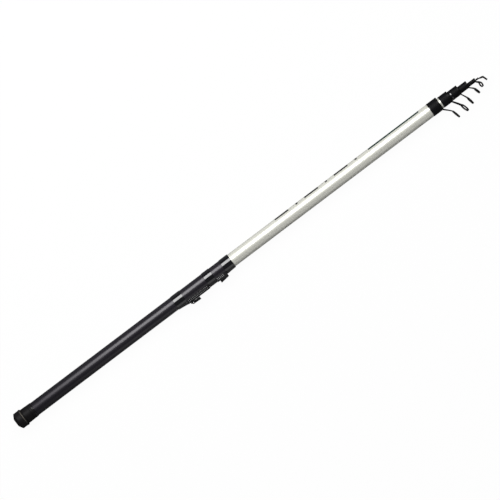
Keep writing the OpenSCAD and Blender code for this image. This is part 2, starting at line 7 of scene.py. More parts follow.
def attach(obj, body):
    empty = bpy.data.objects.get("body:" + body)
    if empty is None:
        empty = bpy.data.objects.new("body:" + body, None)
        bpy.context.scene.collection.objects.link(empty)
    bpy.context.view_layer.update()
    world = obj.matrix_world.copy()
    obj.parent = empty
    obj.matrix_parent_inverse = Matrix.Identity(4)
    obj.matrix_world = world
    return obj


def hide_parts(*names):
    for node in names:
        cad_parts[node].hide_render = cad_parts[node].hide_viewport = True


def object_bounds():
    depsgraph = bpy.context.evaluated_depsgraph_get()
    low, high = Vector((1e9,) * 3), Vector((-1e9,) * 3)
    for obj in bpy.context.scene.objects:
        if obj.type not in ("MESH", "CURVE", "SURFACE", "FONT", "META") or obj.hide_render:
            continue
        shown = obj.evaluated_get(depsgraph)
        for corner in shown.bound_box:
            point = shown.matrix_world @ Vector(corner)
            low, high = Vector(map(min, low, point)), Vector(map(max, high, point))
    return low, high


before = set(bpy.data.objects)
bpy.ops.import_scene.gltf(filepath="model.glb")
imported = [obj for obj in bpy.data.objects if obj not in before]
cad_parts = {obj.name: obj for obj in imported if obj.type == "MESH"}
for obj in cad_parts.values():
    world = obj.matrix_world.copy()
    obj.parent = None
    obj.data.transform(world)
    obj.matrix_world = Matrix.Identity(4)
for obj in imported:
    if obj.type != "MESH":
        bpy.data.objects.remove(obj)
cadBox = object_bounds()
print("frame loaded,", len(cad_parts), "nodes")

mm = 0.001    # lengths below are in millimetres, along the rod from the butt face

# the six telescoping sections, closed; index 0 is the butt section
sections = {
    "tip": [1060.6, 1084.6, 1107.8, 1128.4, 1146.4, 1151.6],
    "tipWide": [28.1, 23.7, 19.8, 14.2, 7.1, 2.2],
    "wall": [1.3, 0.9, 0.9, 0.9, 0.8, 0],
    "play": [0, 0.6, 0.75, 1.6, 2.3, 1.0],    # sideways rattle that lets a section lie low in the one before
    "buttWide": 28.4,
    "start": 30.0,
    "seat": 32.3,
    "overlap": 60,
    "fit": 0.2,
}
glue = 0.03    # film between pieces that are fixed to one another


def startX(k):
    return sections["start"] if k == 0 else sections["seat"]


def buttR(k):
    if k == 0:
        return sections["buttWide"] / 2
    mouth = sections["tipWide"][k - 1] / 2 - sections["wall"][k - 1]
    return mouth + taper(k - 1) * sections["overlap"] - sections["fit"]


def taper(k):
    return (buttR(k) - sections["tipWide"][k] / 2) / (sections["tip"][k] - startX(k))


def outerR(k, x):
    return buttR(k) - taper(k) * (x - startX(k))


def lean(k):
    runs = [tip - sections["seat"] for tip in sections["tip"]]
    return sum(math.atan(sections["play"][i] / runs[i - 1]) for i in range(1, k + 1))


def onSection(k, roll=0):
    pivot = Matrix.Translation((sections["seat"], 0, 0))
    tilt = Matrix.Rotation(-lean(k), 4, "Z")
    return pivot @ tilt @ pivot.inverted() @ Matrix.Rotation(math.radians(roll), 4, "X")


# camera straight above the rod, turned so that the rod rises to the right
shot = {"over": (0.5814, -0.0057), "high": 14.0, "across": 1.0, "rise": 37.05}


def placeCamera():
    turn = math.radians(shot["rise"])
    right = Vector((math.cos(turn), -math.sin(turn), 0))
    up = Vector((math.sin(turn), math.cos(turn), 0))
    data = bpy.data.cameras.new("shotCamera")
    data.sensor_fit = "HORIZONTAL"
    data.angle = 2 * math.atan(shot["across"] / 2 / shot["high"])
    cam = bpy.data.objects.new("shotCamera", data)
    place = Matrix((right, up, Vector((0, 0, 1)))).transposed().to_4x4()
    place.translation = (*shot["over"], shot["high"])
    cam.matrix_world = place
    bpy.context.scene.collection.objects.link(cam)
    bpy.context.scene.camera = cam


placeCamera()
print("camera placed")


# shader sockets that take plain sums
class Wire:
    def __init__(self, tree, socket):
        self.tree = tree
        self.socket = socket

    def sum(self, how, a, b=None):
        node = self.tree.nodes.new("ShaderNodeMath")
        node.operation = how
        for slotIndex, value in enumerate((a, b)):
            if isinstance(value, Wire):
                self.tree.links.new(value.socket, node.inputs[slotIndex])
            elif value is not None:
                node.inputs[slotIndex].default_value = value
        return Wire(self.tree, node.outputs[0])

    def __add__(self, other):
        return self.sum("ADD", self, other)

    def __radd__(self, other):
        return self.sum("ADD", other, self)

    def __sub__(self, other):
        return self.sum("SUBTRACT", self, other)

    def __mul__(self, other):
        return self.sum("MULTIPLY", self, other)

    def __truediv__(self, other):
        return self.sum("DIVIDE", self, other)

    def __gt__(self, other):
        return self.sum("GREATER_THAN", self, other)

    def __lt__(self, other):
        return self.sum("LESS_THAN", self, other)

    def __mod__(self, other):
        return self.sum("FLOORED_MODULO", self, other)


# a material whose inputs take constants, textures and sums
class Finish:
    def __init__(self, name, **constants):
        self.mat = bpy.data.materials.new(name)
        self.mat.use_nodes = True
        self.tree = self.mat.node_tree
        self.skin = self.tree.nodes["Principled BSDF"]
        for label, value in constants.items():
            self.skin.inputs[label.replace("_", " ")].default_value = value

    def node(self, kind, settings=None, outlet=0, **values):
        made = self.tree.nodes.new(kind)
        for key, value in (settings or {}).items():
            if key == "stops":
                ramp = made.color_ramp
                for i, (place, tone) in enumerate(value):
                    stop = ramp.elements[i] if i < 2 else ramp.elements.new(place)
                    stop.position = place
                    stop.color = (*tone, 1)
            else:
                setattr(made, key, value)
        for label, value in values.items():
            key = int(label[2:]) if label.startswith("in") else label.replace("_", " ")
            self.plug(value, made.inputs[key])
        return Wire(self.tree, made.outputs[outlet])

    def plug(self, value, socket):
        if isinstance(value, Wire):
            self.tree.links.new(value.socket, socket)
        else:
            socket.default_value = value

    def feed(self, label, value):
        self.plug(value, self.skin.inputs[label])

    def where(self):
        return self.node("ShaderNodeTexCoord", outlet=3)

    def axes(self):
        split = self.node("ShaderNodeSeparateXYZ", Vector=self.where())
        return [Wire(self.tree, split.socket.node.outputs[i]) for i in range(3)]

    def noise(self, scale, detail=2.0, rough=0.5, stretch=(1, 1, 1)):
        spot = self.node("ShaderNodeMapping", Vector=self.where(), Scale=stretch)
        return self.node("ShaderNodeTexNoise", Vector=spot, Scale=scale, Detail=detail, Roughness=rough)

    def over(self, mask, under, top):
        return self.node("ShaderNodeMix", {"data_type": "RGBA"}, outlet=2, in0=mask, in6=under, in7=(*top, 1))

    def tint(self, mask, dark, light):
        return self.over(mask, (*dark, 1), light)

    def bump(self, height, strength, depth):
        self.feed("Normal", self.node("ShaderNodeBump", Height=height, Strength=strength, Distance=depth))


def pearlLacquer(name, marks=None):
    f = Finish(name, Metallic=0.35, Coat_Weight=0.6, Coat_Roughness=0.1, Coat_IOR=1.4)
    flake = f.node("ShaderNodeTexVoronoi", {"feature": "F1"}, outlet=1, Vector=f.where(), Scale=2600.0)
    flakeTone = f.node("ShaderNodeSeparateColor", Color=flake)
    cloud = f.noise(9.0, 3.0)
    tone = f.tint(flakeTone * 0.5 + cloud * 0.5, (0.66, 0.66, 0.595), (0.76, 0.76, 0.695))
    if marks:
        x, y, z = f.axes()
        around = x.sum("ARCTAN2", y, z)
        inTurn = (around > math.radians(markTurn[0])) * (around < math.radians(markTurn[1]))
        for band in marks:
            inX = (x > band["from"] * mm) * (x < band["to"] * mm)
            inDash = ((x - band["from"] * mm) % (band["pitch"] * mm)) < band["dash"] * mm
            tone = f.over(inX * inTurn * inDash, tone, band["tone"])
    f.feed("Base Color", tone)
    f.feed("Roughness", 0.34 + flakeTone * 0.06)
    f.bump(f.noise(180.0, 2.0), 0.03, 0.0002)
    return f.mat


# the clear coat is worn away towards the butt, where the rod is stood and held
coatWear = {"over": 500.0, "stops": [(0.13, (0, 0, 0)), (0.54, (0.7, 0.7, 0.7)), (0.9, (1, 1, 1))]}


def satinBlack(name):
    f = Finish(name, Specular_IOR_Level=0.24, Specular_Tint=(0.96, 0.91, 1.0, 1.0), Coat_IOR=1.48,
               Coat_Roughness=0.25, Coat_Tint=(0.97, 0.94, 1.0, 1.0))
    along = f.axes()[0] * (1 / (coatWear["over"] * mm))
    f.feed("Coat Weight", f.node("ShaderNodeValToRGB", {"stops": coatWear["stops"]}, Fac=along))
    grain = f.noise(2200.0, 3.0, 0.6)
    handled = f.noise(22.0, 4.0, 0.6, (0.35, 1, 1))
    f.feed("Base Color", f.tint(handled, (0.007, 0.0065, 0.009), (0.012, 0.011, 0.014)))
    f.feed("Roughness", 0.34 + handled * 0.06 + grain * 0.05)
    f.bump(grain, 0.12, 0.00006)
    return f.mat


def glossBlack(name):
    f = Finish(name, Coat_Weight=1.0, Coat_Roughness=0.08, Coat_IOR=1.87, Specular_IOR_Level=0.05)
    pool = f.noise(70.0, 2.0, 0.4, (1.6, 1, 1))
    f.feed("Base Color", f.tint(pool, (0.003, 0.003, 0.004), (0.006, 0.006, 0.008)))
    f.feed("Roughness", 0.12 + pool * 0.08)
    f.bump(pool, 0.05, 0.0004)
    return f.mat


def seatBlack(name):
    f = Finish(name, Specular_IOR_Level=0.1)
    spark = f.noise(3200.0, 2.0, 0.6)
    rub = f.noise(140.0, 4.0, 0.65)
    f.feed("Base Color", f.tint(rub, (0.003, 0.003, 0.0035), (0.006, 0.006, 0.007)))
    f.feed("Roughness", 0.36 + rub * 0.16)
    f.bump(spark, 0.15, 0.00005)
    return f.mat


# painted highlight: the rail's black teeth are coloured light grey so that their rows show as bright glints
def toothGrey(name):
    f = Finish(name, Specular_IOR_Level=0.5)
    rub = f.noise(600.0, 3.0, 0.6)
    f.feed("Base Color", f.tint(rub, (0.2, 0.2, 0.202), (0.44, 0.44, 0.44)))
    f.feed("Roughness", 0.35 + rub * 0.2)
    f.bump(rub, 0.2, 0.00005)
    return f.mat


def brightSteel(name):
    f = Finish(name, Metallic=1.0)
    lathe = f.noise(2400.0, 2.0, 0.5, (1, 1, 0.1))
    f.feed("Base Color", f.tint(lathe, (0.66, 0.66, 0.67), (0.82, 0.82, 0.83)))
    f.feed("Roughness", 0.16 + lathe * 0.14)
    f.bump(lathe, 0.1, 0.00003)
    return f.mat


def wrapBlack(name):
    f = Finish(name, Specular_IOR_Level=0.1)
    fibre = f.noise(1500.0, 3.0, 0.6, (3.0, 0.4, 0.4))
    resin = f.noise(160.0, 2.0)
    f.feed("Base Color", f.tint(fibre, (0.002, 0.002, 0.003), (0.005, 0.005, 0.006)))
    f.feed("Roughness", 0.46 + resin * 0.16)
    f.bump(fibre, 0.15, 0.00006)
    return f.mat


def guideBlack(name):
    f = Finish(name, Specular_IOR_Level=0.1)
    skin = f.noise(1800.0, 3.0, 0.6)
    chip = f.noise(420.0, 5.0, 0.7)
    worn = chip > 0.72
    paint = f.tint(skin, (0.002, 0.002, 0.002), (0.005, 0.005, 0.005))
    f.feed("Base Color", f.over(worn, paint, (0.03, 0.03, 0.03)))
    f.feed("Metallic", worn * 0.7)
    f.feed("Roughness", 0.34 + skin * 0.12)
    f.bump(skin, 0.15, 0.00003)
    return f.mat


def ringBlack(name):
    f = Finish(name, Specular_IOR_Level=0.2)
    swirl = f.noise(700.0, 3.0, 0.5)
    f.feed("Base Color", f.tint(swirl, (0.004, 0.004, 0.005), (0.009, 0.009, 0.010)))
    f.feed("Roughness", 0.06 + swirl * 0.08)
    f.bump(swirl, 0.04, 0.00003)
    return f.mat


def gripRubber(name, worn):
    f = Finish(name, Specular_IOR_Level=0.2)
    x, y, z = f.axes()
    far = (y * y + z * z) / (worn["radius"] * mm) ** 2
    dust = f.noise(900.0, 4.0, 0.65)
    # the pale dust is gathered onto the side that faces the key lamp: partly dust, partly a painted highlight
    upper = (y * worn["facing"][0] + z * worn["facing"][1]) / (worn["radius"] * mm)
    paintedHighlight = upper.sum("POWER", upper.sum("MAXIMUM", upper, 0.0), worn["focus"])
    onEdge = (far > 1.0) * (x > worn["from"] * mm) * (x < worn["to"] * mm)
    f.feed("Base Color", f.tint(onEdge * dust * paintedHighlight, (0.006, 0.006, 0.006), (0.2, 0.175, 0.145)))
    f.feed("Roughness", 0.55 + dust * 0.2)
    f.bump(dust, 0.3, 0.00008)
    return f.mat


def cushionFoam(name):
    f = Finish(name, Specular_IOR_Level=0.2)
    cell = f.node("ShaderNodeTexVoronoi", {"feature": "F1"}, Vector=f.where(), Scale=1400.0)
    f.feed("Base Color", f.tint(cell, (0.018, 0.018, 0.018), (0.05, 0.05, 0.05)))
    f.feed("Roughness", 0.8 + cell * 0.2)
    f.bump(cell, 0.6, 0.0003)
    return f.mat


def capBlack(name):
    f = Finish(name, Specular_IOR_Level=0.1)
    grain = f.noise(1900.0, 3.0, 0.6)
    scuff = f.noise(60.0, 5.0, 0.7)
    f.feed("Base Color", f.tint(scuff, (0.004, 0.0035, 0.004), (0.009, 0.008, 0.009)))
    f.feed("Roughness", 0.42 + scuff * 0.14)
    f.bump(grain, 0.15, 0.00007)
    return f.mat


# plain marks round the far side of the butt section: long and short dashes, then a green bar
markTurn = (52, 95)
markBlack = (0.03, 0.03, 0.028)
markGreen = (0.008, 0.045, 0.032)
blankMarks = [
    {"from": 657, "to": 866, "pitch": 74, "dash": 34, "tone": markBlack},
    {"from": 709, "to": 866, "pitch": 74, "dash": 5, "tone": markBlack},
    {"from": 891, "to": 1017, "pitch": 200, "dash": 200, "tone": markGreen},
]
# pale dust on the rib tops of the grip ring, strongest on the upper side towards the key lamp, where it is a
# painted highlight
gripDustAndHighlight = {"radius": 17.86, "from": 17.2, "to": 19.2, "facing": (0.26, 0.966), "focus": 4.0}
finishes = {
    "pearl_lacquer": pearlLacquer("pearlLacquer"),
    "satin_black": satinBlack("satinBlack"),
    "gloss_black": glossBlack("glossBlack"),
    "seat_black": seatBlack("seatBlack"),
    "bright_steel": brightSteel("brightSteel"),
    "wrap_black": wrapBlack("wrapBlack"),
    "guide_black": guideBlack("guideBlack"),
    "ring_black": ringBlack("ringBlack"),
    "grip_rubber": gripRubber("gripRubber", gripDustAndHighlight),
    "cushion_foam": cushionFoam("cushionFoam"),
    "cap_black": capBlack("capBlack"),
}
markedLacquer = pearlLacquer("pearlLacquerMarked", blankMarks)
toothHighlightFinish = toothGrey("toothGrey")
print("finishes mixed:", len(finishes) + 2)


# mesh helpers; a corner is its place along the rod, its distance out and its rounding
def rounded(corners, steps=4):
    most = 0.48    # share of a side that one rounding may take
    out = []
    for i, (x, y, radius) in enumerate(corners):
        if not radius:
            out.append((x, y))
            continue
        here = Vector((x, y))
        back = Vector(corners[i - 1][:2]) - here
        ahead = Vector(corners[(i + 1) % len(corners)][:2]) - here
        half = back.angle(ahead) / 2
        cut = min(radius / math.tan(half), most * back.length, most * ahead.length)
        reach = cut / math.cos(half)
        centre = here + (back.normalized() + ahead.normalized()).normalized() * reach
        first = here + back.normalized() * cut - centre
        last = here + ahead.normalized() * cut - centre
        sweep = math.atan2(first.x * last.y - first.y * last.x, first.dot(last))
        for j in range(steps + 1):
            a = sweep * j / steps
            c, s = math.cos(a), math.sin(a)
            out.append((centre.x + first.x * c - first.y * s, centre.y + first.x * s + first.y * c))
    return out


def stretched(profile, longest=40):
    out = []
    for a, b in zip(profile, profile[1:] + profile[:1]):
        n = max(1, math.ceil(math.dist(a, b) / longest))
        out += [(a[0] + (b[0] - a[0]) * i / n, a[1] + (b[1] - a[1]) * i / n) for i in range(n)]
    return out


def spun(bm, profile, sides=96, place=Matrix.Identity(4)):
    rings = []
    for x, r in profile:
        turns = [0] if r < 1e-6 else [2 * math.pi * i / sides for i in range(sides)]
        rings.append([bm.verts.new(place @ Vector((x, r * math.cos(a), r * math.sin(a)))) for a in turns])
    for a, b in zip(rings, rings[1:] + rings[:1]):
        for i in range(sides):
            j = (i + 1) % sides
            quad = [a[i % len(a)], a[j % len(a)], b[j % len(b)], b[i % len(b)]]
            corners = list(dict.fromkeys(quad))
            if len(corners) > 2:
                bm.faces.new(corners)


def sweptWire(bm, points, radius, sides=14, place=Matrix.Identity(4)):
    side = Vector((0, 0, 1))
    rings = []
    for i, p in enumerate(points):
        run = (points[min(i + 1, len(points) - 1)] - points[max(i - 1, 0)]).normalized()
        across = run.cross(side).normalized()
        side = across.cross(run).normalized()
        spokes = [2 * math.pi * j / sides for j in range(sides)]
        hoop = [p + (across * math.cos(a) + side * math.sin(a)) * radius for a in spokes]
        rings.append([bm.verts.new(place @ v) for v in hoop])
    for a, b in zip(rings, rings[1:]):
        for i in range(sides):
            j = (i + 1) % sides
            bm.faces.new((a[i], a[j], b[j], b[i]))
    bm.faces.new(rings[0])
    bm.faces.new(rings[-1])


def bend(a, b, c, d, steps=18):
    out = []
    for i in range(steps + 1):
        t = i / steps
        out.append(a * (1 - t) ** 3 + b * 3 * t * (1 - t) ** 2 + c * 3 * t * t * (1 - t) + d * t ** 3)
    return out


def finishPiece(name, bm, body, slot, nodes=(), material=None, place=Matrix.Identity(4), crease=40):
    bmesh.ops.recalc_face_normals(bm, faces=bm.faces)
    mesh = bpy.data.meshes.new(name)
    bm.to_mesh(mesh)
    bm.free()
    mesh.transform(Matrix.Scale(mm, 4) @ place)
    mesh.materials.clear()
    mesh.materials.append(material or finishes[slot])
    mesh.polygons.foreach_set("use_smooth", [True] * len(mesh.polygons))
    mesh.set_sharp_from_angle(angle=math.radians(crease))
    piece = bpy.data.objects.new(name, mesh)
    bpy.context.scene.collection.objects.link(piece)
    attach(piece, body)
    if nodes:
        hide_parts(*nodes)
    return piece


# geometry node trees, built here and turned into plain meshes
class Grower:
    def __init__(self, name, inputs):
        self.group = bpy.data.node_groups.new(name, "GeometryNodeTree")
        self.group.interface.new_socket("Geometry", in_out="OUTPUT", socket_type="NodeSocketGeometry")
        for label, kind in inputs.items():
            self.group.interface.new_socket(label, in_out="INPUT", socket_type="NodeSocket" + kind)
        self.given = self.group.nodes.new("NodeGroupInput")
        self.result = self.group.nodes.new("NodeGroupOutput")

    def get(self, label):
        return self.given.outputs[label]

    def node(self, kind, settings=None, outlet=0, **values):
        made = self.group.nodes.new(kind)
        for key, value in (settings or {}).items():
            setattr(made, key, value)
        for label, value in values.items():
            key = int(label[2:]) if label.startswith("in") else label.replace("_", " ")
            socket = made.inputs[key]
            if isinstance(value, bpy.types.NodeSocket):
                self.group.links.new(value, socket)
            else:
                socket.default_value = value
        return made.outputs[outlet]

    def triple(self, x=0.0, y=0.0, z=0.0):
        return self.node("ShaderNodeCombineXYZ", X=x, Y=y, Z=z)

    def times(self, a, b, how="MULTIPLY"):
        return self.node("ShaderNodeMath", {"operation": how}, in0=a, in1=b)

    def softBlock(self, length, depth, height, straight=0.6, crownShare=0.72):
        # a block on z = 0 whose top edge is chamfered
        body = self.triple(length, depth, self.times(height, straight))
        cube = self.node("GeometryNodeMeshCube", Size=body)
        lift = self.triple(z=self.times(height, straight / 2))
        up = self.node("GeometryNodeTransform", Geometry=cube, Translation=lift)
        facing = self.node("ShaderNodeSeparateXYZ", outlet=2, in0=self.node("GeometryNodeInputNormal"))
        top = self.times(facing, 0.5, "GREATER_THAN")
        rise = self.times(height, 1 - straight)
        raised = self.node("GeometryNodeExtrudeMesh", Mesh=up, Selection=top, Offset_Scale=rise)
        crown = raised.node.outputs["Top"]
        return self.node("GeometryNodeScaleElements", Geometry=raised, Selection=crown, Scale=crownShare)

    def end(self, geometry, material):
        real = self.node("GeometryNodeRealizeInstances", Geometry=geometry)
        painted = self.node("GeometryNodeSetMaterial", Geometry=real, Material=material)
        self.group.links.new(painted, self.result.inputs[0])

    def grow(self, **values):
        holder = bpy.data.objects.new(self.group.name, bpy.data.meshes.new(self.group.name))
        bpy.context.scene.collection.objects.link(holder)
        mod = holder.modifiers.new("grow", "NODES")
        mod.node_group = self.group
        for item in self.group.interface.items_tree:
            if item.in_out == "INPUT":
                mod[item.identifier] = values[item.name]
        graph = bpy.context.evaluated_depsgraph_get()
        mesh = bpy.data.meshes.new_from_object(holder.evaluated_get(graph))
        holder.modifiers.remove(mod)
        bpy.data.objects.remove(holder)
        return mesh


def toothTree(material):
    # teeth in a row along X, standing out along Z
    sizes = ("Pitch", "Long", "Deep", "Proud")
    g = Grower("toothRow", {"Count": "Int", **dict.fromkeys(sizes, "Float")})
    tooth = g.softBlock(g.get("Long"), g.get("Deep"), g.get("Proud"))
    row = g.node("GeometryNodeMeshLine", Count=g.get("Count"), Offset=g.triple(g.get("Pitch")))
    g.end(g.node("GeometryNodeInstanceOnPoints", Points=row, Instance=tooth), material)
    return g


def ribTree(material):
    # ribs round the X axis, standing out from a radius
    sizes = ("Radius", "Long", "Wide", "Proud")
    g = Grower("ribRing", {"Count": "Int", **dict.fromkeys(sizes, "Float")})
    rib = g.softBlock(g.get("Long"), g.get("Wide"), g.get("Proud"))
    out = g.node("GeometryNodeTransform", Geometry=rib, Translation=g.triple(z=g.get("Radius")))
    spots = g.node("GeometryNodeMeshLine", Count=g.get("Count"), Offset=(0, 0, 0))
    step = g.times(2 * math.pi, g.get("Count"), "DIVIDE")
    turn = g.triple(g.times(g.node("GeometryNodeInputIndex"), step))
    g.end(g.node("GeometryNodeInstanceOnPoints", Points=spots, Instance=out, Rotation=turn), material)
    return g


def wrapTree(material):
    # turns of thread side by side along X
    g = Grower("threadWraps", {"Count": "Int", **dict.fromkeys(("Pitch", "Radius", "Thread"), "Float")})
    hoop = g.node("GeometryNodeCurvePrimitiveCircle", Resolution=72, Radius=g.get("Radius"))
    thread = g.node("GeometryNodeCurvePrimitiveCircle", Resolution=6, Radius=g.get("Thread"))
    turn = g.node("GeometryNodeCurveToMesh", Curve=hoop, Profile_Curve=thread)
    stood = g.node("GeometryNodeTransform", Geometry=turn, Rotation=(0, math.pi / 2, 0))
    row = g.node("GeometryNodeMeshLine", Count=g.get("Count"), Offset=g.triple(g.get("Pitch")))
    g.end(g.node("GeometryNodeInstanceOnPoints", Points=row, Instance=stood), material)
    return g


def threadTree(material):
    # a screw thread's ridge round the X axis
    g = Grower("screwThread", dict.fromkeys(("Turns", "Radius", "Long", "Ridge"), "Float"))
    coil = g.node("GeometryNodeCurveSpiral", Resolution=72, Rotations=g.get("Turns"), Height=g.get("Long"),
                  Start_Radius=g.get("Radius"), End_Radius=g.get("Radius"))
    ridge = g.node("GeometryNodeCurvePrimitiveCircle", Resolution=6, Radius=g.get("Ridge"))
    solid = g.node("GeometryNodeCurveToMesh", Curve=coil, Profile_Curve=ridge, Fill_Caps=True)
    g.end(g.node("GeometryNodeTransform", Geometry=solid, Rotation=(0, math.pi / 2, 0)), material)
    return g


def grownInto(bm, mesh, place):
    mesh.transform(Matrix.Scale(1 / mm, 4))
    mesh.transform(place)
    bm.from_mesh(mesh)
    bpy.data.meshes.remove(mesh)


# blanks: the white butt section and the tubes nested in it
blanks = {
    "edge": 0.3,
    "names": ["buttBlank", "sectionTwo", "sectionThree", "sectionFour", "sectionFive", "sectionSix"],
}
bodyNames = ["butt_section", "section_2", "section_3", "section_4", "section_5", "tip_section"]
tipIndex = len(bodyNames) - 1
blankNodes = ["butt_blank"] + [f"section_{k}_blank" for k in range(2, 7)]


def makeBlank(k):
    x0, x1 = startX(k), sections["tip"][k]
    r0, r1 = buttR(k), sections["tipWide"][k] / 2
    wall = sections["wall"][k]
    soft = min(blanks["edge"], wall / 3 or r1 / 3)
    inner = [(x1, r1 - wall, soft), (x0, r0 - wall, soft)] if wall else [(x1, 0, 0), (x0, 0, 0)]
    profile = stretched(rounded([(x0, r0, soft), (x1, r1, soft)] + inner))
    bm = bmesh.new()
    spun(bm, profile, 96 if k < 4 else 64)
    finishPiece(blanks["names"][k], bm, bodyNames[k], "pearl_lacquer", [blankNodes[k]],
                markedLacquer if k == 0 else None, onSection(k))


for k in range(len(bodyNames)):
    makeBlank(k)
print("blanks turned")


# handle sleeve and the collar at the butt
handle = {"from": 45.36, "to": 537.5, "wall": 0.35, "paint": 0.22, "edge": 0.12}
buttCollar = {"from": 21.6, "to": 45.3, "wide": 32.4, "frontWide": 31.0, "groove": 0.35, "lineAt": 36.4,
              "edge": 0.5, "threadWide": 28.0}
collarBead = {"at": 43.2, "long": 0.8, "proud": 0.12, "deep": 0.8, "edge": 0.4}


def handleR(x):
    return outerR(0, x) + glue + handle["wall"]


def makeHandle():
    x0, x1 = handle["from"], handle["to"]
    r0, r1 = handleR(x0), handleR(x1)
    wall, paint, soft = handle["wall"], handle["paint"], handle["edge"]
    outer = [(x0, r0 + paint, soft), (x1, r1 + paint, soft)]
    bm = bmesh.new()
    spun(bm, stretched(rounded(outer + [(x1, r1 - wall, soft), (x0, r0 - wall, soft)])))
    finishPiece("handleSleeve", bm, "butt_section", "satin_black", ["handle_sleeve"])


def collarR(x):
    c = buttCollar
    fall = (c["wide"] - c["frontWide"]) / 2 / (c["to"] - c["from"])
    return c["wide"] / 2 - fall * (x - c["from"])


def makeButtCollar():
    c = buttCollar
    x0, x1 = c["from"], c["to"]
    start = sections["start"]
    bore = outerR(0, start) + glue
    line, g = c["lineAt"], c["groove"]
    profile = rounded([
        (x0, collarR(x0), c["edge"]),
        (line - g, collarR(line), 0.1), (line, collarR(line) - g, 0.1), (line + g, collarR(line), 0.1),
        (x1, collarR(x1), 1.0), (x1, bore, 0.1),
        (start, bore, 0), (start, c["threadWide"] / 2, 0.1), (x0, c["threadWide"] / 2, 0.3),
    ])
    bm = bmesh.new()
    spun(bm, profile)
    finishPiece("buttCollar", bm, "butt_section", "cap_black", ["butt_collar"])


def makeCollarBead():
    c = collarBead
    x0 = c["at"] - c["long"] / 2
    x1 = x0 + c["long"]
    top = collarR(x0) + c["proud"]
    low = top - c["deep"]
    bm = bmesh.new()
    spun(bm, rounded([(x0, top, c["edge"]), (x1, top, c["edge"]), (x1, low, 0), (x0, low, 0)]))
    finishPiece("collarBead", bm, "butt_section", "gloss_black")


makeHandle()
makeButtCollar()
makeCollarBead()
print("handle and butt collar turned")


# screw cap with its grip ring, seal and cushion
cap = {"long": 20.8, "wide": 35.2, "cone": 5.2, "faceWide": 17.0, "spigotEnd": 29.4, "threadWide": 28.0,
       "pitch": 2.5, "ridge": 0.5, "threadDeep": 0.58, "threadLead": 0.8, "threadSpare": 1.0,
       "grooveFrom": 15.94, "grooveTo": 20.0, "seat": 1.2, "faceDish": 0.5, "faceRim": 3.2, "faceSlope": 0.5,
       "stemHole": 5.08, "holeFrom": 21.4}
grip = {"from": 15.97, "to": 19.97, "base": 17.72, "top": 18.15, "ribs": 40, "ribWide": 1.9, "sunk": 0.3}
seal = {"from": 20.83, "to": 21.33, "wide": 31.8, "bore": 28.06}
cushion = {"from": 29.7, "pad": 2.3, "stem": 10.0, "stemLong": 8.0, "crown": 0.25, "crownFrom": 0.6,
           "crownRound": 6, "clear": 0.4}


def makeCap():
    c = cap
    r = c["wide"] / 2
    flat = c["faceWide"] / 2
    dish = flat - c["faceRim"]
    spigot = c["threadWide"] / 2 - c["threadDeep"]
    profile = rounded([
        (c["faceDish"], 0, 0), (c["faceDish"], dish, 0.4), (0, dish + c["faceSlope"], 0.4),
        (0, flat, 2.5), (c["cone"], r, 2.5),
        (c["grooveFrom"], r, 0.2), (c["grooveFrom"], r - c["seat"], 0), (c["grooveTo"], r - c["seat"], 0),
        (c["grooveTo"], r, 0.15), (c["long"], r, 0.3), (c["long"], spigot, 0.2),
        (c["spigotEnd"], spigot, 0.6), (c["spigotEnd"], c["stemHole"], 0.3),
        (c["holeFrom"], c["stemHole"], 0), (c["holeFrom"], 0, 0),
    ])
    bm = bmesh.new()
    spun(bm, profile)
    turns = (c["spigotEnd"] - c["long"] - 2 * c["ridge"] - c["threadSpare"]) / c["pitch"]
    tree = threadTree(finishes["cap_black"])
    thread = tree.grow(Turns=turns, Radius=spigot * mm, Long=turns * c["pitch"] * mm, Ridge=c["ridge"] * mm)
    grownInto(bm, thread, Matrix.Translation((c["long"] + c["ridge"] + c["threadLead"], 0, 0)))
    finishPiece("screwCap", bm, "screw_cap", "cap_black", ["screw_cap"])


def makeGrip():
    g = grip
    bore = cap["wide"] / 2 - cap["seat"] + glue
    bm = bmesh.new()
    x0, x1, sunk = g["from"], g["to"], g["sunk"]
    spun(bm, rounded([(x0, g["base"], sunk), (x1, g["base"], sunk), (x1, bore, 0), (x0, bore, 0)]))
    tree = ribTree(finishes["grip_rubber"])
    ribs = tree.grow(Count=g["ribs"], Radius=(g["base"] - sunk) * mm, Long=(x1 - x0 - sunk) * mm,
                     Wide=g["ribWide"] * mm, Proud=(g["top"] - g["base"] + sunk) * mm)
    grownInto(bm, ribs, Matrix.Translation(((x0 + x1) / 2, 0, 0)))
    finishPiece("capGrip", bm, "screw_cap", "grip_rubber", ["cap_grip"], crease=30)


def makeSeal():
    s = seal
    bm = bmesh.new()
    r0, r1 = s["bore"] / 2, s["wide"] / 2
    spun(bm, rounded([(s["from"], r1, 0.2), (s["to"], r1, 0.2), (s["to"], r0, 0.2), (s["from"], r0, 0.2)]))
    finishPiece("capSeal", bm, "screw_cap", "grip_rubber", ["cap_seal"])


def makeCushion():
    c = cushion
    padR = outerR(0, sections["start"]) - sections["wall"][0] - c["clear"]
    stemR = c["stem"] / 2
    x0, x1 = c["from"], c["from"] + c["pad"]
    bm = bmesh.new()
    spun(bm, rounded([
        (x0 - c["stemLong"], 0, 0), (x0 - c["stemLong"], stemR, 1.0), (x0, stemR, 0.4), (x0, padR, 0.8),
        (x1 - c["crown"], padR, 0.8), (x1, padR * c["crownFrom"], c["crownRound"]), (x1, 0, 0),
    ]))
    pad = finishPiece("capCushion", bm, "cap_cushion", "cushion_foam", ["cap_cushion"])


makeCap()
makeGrip()
makeSeal()
makeCushion()
print("butt cap made")


